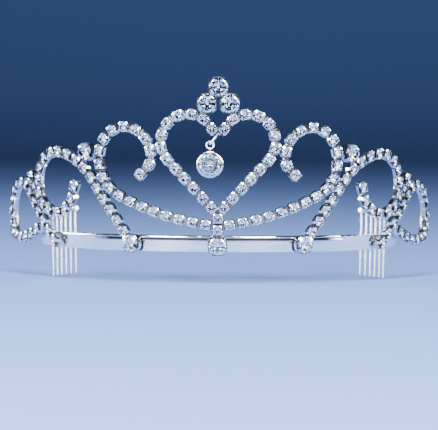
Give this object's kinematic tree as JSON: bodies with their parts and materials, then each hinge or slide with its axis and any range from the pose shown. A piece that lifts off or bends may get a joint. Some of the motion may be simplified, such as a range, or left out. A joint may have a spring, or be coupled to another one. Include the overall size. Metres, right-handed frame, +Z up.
{
  "type": "bridal tiara",
  "caption": "Silver bridal tiara with a stone-set heart, scroll wings, a hanging drop stone and side combs on a polished band.",
  "frame": {"origin": "midway between the two combs, level with the headband's lower edge, where the tiara sits on the head", "axes": "+X to the side of the wearer's left, seen on the right from the front; +Y to the back of the head, so the front is at -Y; +Z up"},
  "size_m": [0.1392, 0.0575, 0.064],
  "materials": {
    "crystal": "clear faceted crystal with a foiled back",
    "setting_metal": "bright silver plate",
    "frame_wire": "bright silver plate",
    "comb_wire": "bright silver plate",
    "band_metal": "mirror polished silver plate"
  },
  "bodies": {
    "tiara": {"centre_foot_settings": "setting_metal", "centre_foot_stones": "crystal", "centre_post_cups": "setting_metal", "centre_post_stones": "crystal", "centre_post_wire": "frame_wire", "comb_left_spine": "comb_wire", "comb_left_teeth": "comb_wire", "comb_right_spine": "comb_wire", "comb_right_teeth": "comb_wire", "crest_settings": "setting_metal", "crest_stones": "crystal", "crest_wire": "frame_wire", "drop_link": "frame_wire", "headband": "band_metal", "heart_left_cups": "setting_metal", "heart_left_stones": "crystal", "heart_left_wire": "frame_wire", "heart_right_cups": "setting_metal", "heart_right_stones": "crystal", "heart_right_wire": "frame_wire", "inner_scroll_left_cups": "setting_metal", "inner_scroll_left_stones": "crystal", "inner_scroll_left_wire": "frame_wire", "inner_scroll_right_cups": "setting_metal", "inner_scroll_right_stones": "crystal", "inner_scroll_right_wire": "frame_wire", "joining_wires": "frame_wire", "junction_settings": "setting_metal", "junction_stones": "crystal", "leg_foot_settings": "setting_metal", "leg_foot_stones": "crystal", "middle_scroll_left_cups": "setting_metal", "middle_scroll_left_stones": "crystal", "middle_scroll_left_wire": "frame_wire", "middle_scroll_right_cups": "setting_metal", "middle_scroll_right_stones": "crystal", "middle_scroll_right_wire": "frame_wire", "outer_scroll_left_cups": "setting_metal", "outer_scroll_left_stones": "crystal", "outer_scroll_left_wire": "frame_wire", "outer_scroll_right_cups": "setting_metal", "outer_scroll_right_stones": "crystal", "outer_scroll_right_wire": "frame_wire", "tip_settings": "setting_metal", "tip_stones": "crystal"},
    "drop_ring": {"drop_ring": "frame_wire"},
    "drop": {"drop_bezel": "setting_metal", "drop_stone": "crystal"}
  },
  "joints": [
    {"name": "ring_swing", "type": "hinge", "parent": "tiara", "child": "drop_ring", "pos_m": [-0.0025, -0.02398, 0.0339], "axis": [0, 1, 0], "range_deg": [-60, 60]},
    {"name": "drop_swing", "type": "hinge", "parent": "drop_ring", "child": "drop", "pos_m": [-0.0025, -0.02398, 0.03235], "axis": [1, 0, 0], "range_deg": [-60, 60]}
  ]
}
